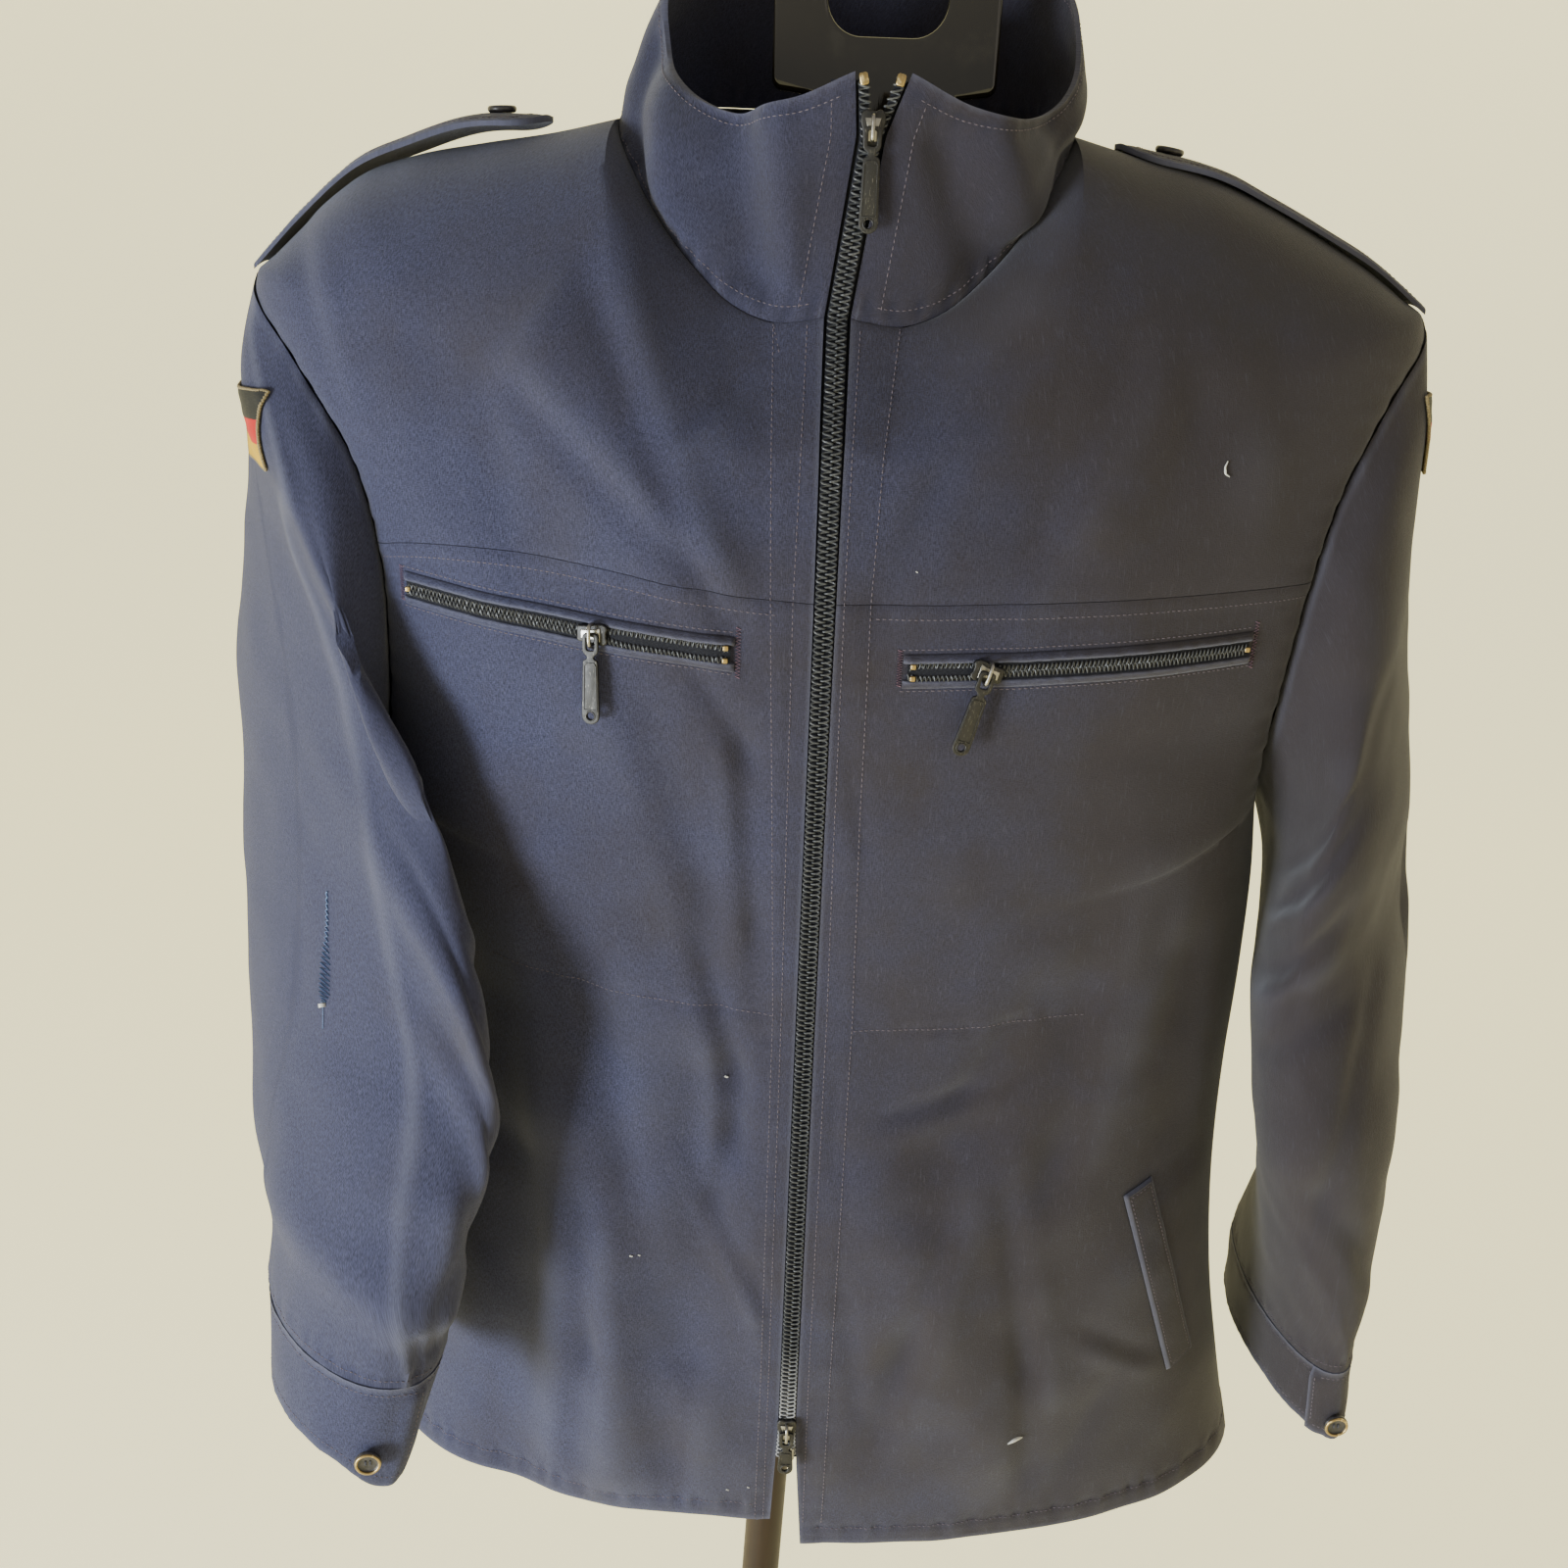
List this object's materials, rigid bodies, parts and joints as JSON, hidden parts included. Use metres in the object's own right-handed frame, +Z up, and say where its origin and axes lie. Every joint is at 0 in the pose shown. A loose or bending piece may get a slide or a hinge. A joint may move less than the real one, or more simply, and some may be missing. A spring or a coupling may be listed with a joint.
{
  "type": "military field jacket on a floor stand",
  "caption": "Worn navy field jacket, zipped shut, with stand collar, chest zips, shoulder straps and sleeve flag patches, hanging on a wooden floor stand.",
  "frame": {"origin": "centre of the stand base's underside, on the floor", "axes": "+Z up along the post; the jacket's front faces -Y; +X is the viewer's right seen from the front"},
  "size_m": [0.6429, 0.3341, 1.4928],
  "materials": {
    "cloth": "worn navy cotton twill",
    "flag": "embroidered black, red and gold stripes",
    "tape": "woven black zip tape",
    "coil": "black polyester coil on tape",
    "metal": "dark gunmetal, worn to brass at the edges",
    "button": "dark, semi-gloss",
    "wood": "warm brown, varnished",
    "plastic": "high-gloss black"
  },
  "bodies": {
    "jacket": {"front_left": "cloth", "yoke_left": "cloth", "sleeve_left": "cloth", "cuff_left": "cloth", "strap_left": "cloth", "welt_left": "cloth", "flag_left": "flag", "zip_tape_left": "tape", "zip_chain_left": "coil", "pocket_zip_left": "coil", "slider_pocket_left": "metal", "strap_button_left": "button", "cuff_button_left": "button", "front_right": "cloth", "yoke_right": "cloth", "sleeve_right": "cloth", "cuff_right": "cloth", "strap_right": "cloth", "welt_right": "cloth", "flag_right": "flag", "zip_tape_right": "tape", "zip_chain_right": "coil", "pocket_zip_right": "coil", "slider_pocket_right": "metal", "strap_button_right": "button", "cuff_button_right": "button", "back": "cloth", "collar": "cloth", "slider_top": "metal", "slider_bottom": "metal", "stand_base": "wood", "stand_post": "wood", "form_socket": "plastic", "shoulder_form": "plastic", "handle_plate": "plastic"},
    "pull_top": {"pull_top": "metal"},
    "pull_bottom": {"pull_bottom": "metal"},
    "pull_pocket_left": {"pull_pocket_left": "metal"},
    "pull_pocket_right": {"pull_pocket_right": "metal"}
  },
  "joints": [
    {"name": "pull_top_swing", "type": "hinge", "parent": "jacket", "child": "pull_top", "pos_m": [-0.00587, -0.09489, 1.3878], "axis": [-0.9995, 0, -0.0332], "range_deg": [0, 165]},
    {"name": "pull_bottom_swing", "type": "hinge", "parent": "jacket", "child": "pull_bottom", "pos_m": [0.00423, -0.12558, 0.75979], "axis": [-0.9995, 0, -0.0332], "range_deg": [0, 165]},
    {"name": "pull_pocket_left_swing", "type": "hinge", "parent": "jacket", "child": "pull_pocket_left", "pos_m": [-0.10952, -0.12335, 1.17795], "axis": [-0.9723, 0.2317, -0.0323], "range_deg": [0, 165]},
    {"name": "pull_pocket_right_swing", "type": "hinge", "parent": "jacket", "child": "pull_pocket_right", "pos_m": [0.06136, -0.12999, 1.17561], "axis": [-0.9622, -0.1211, 0.2439], "range_deg": [0, 165]}
  ]
}
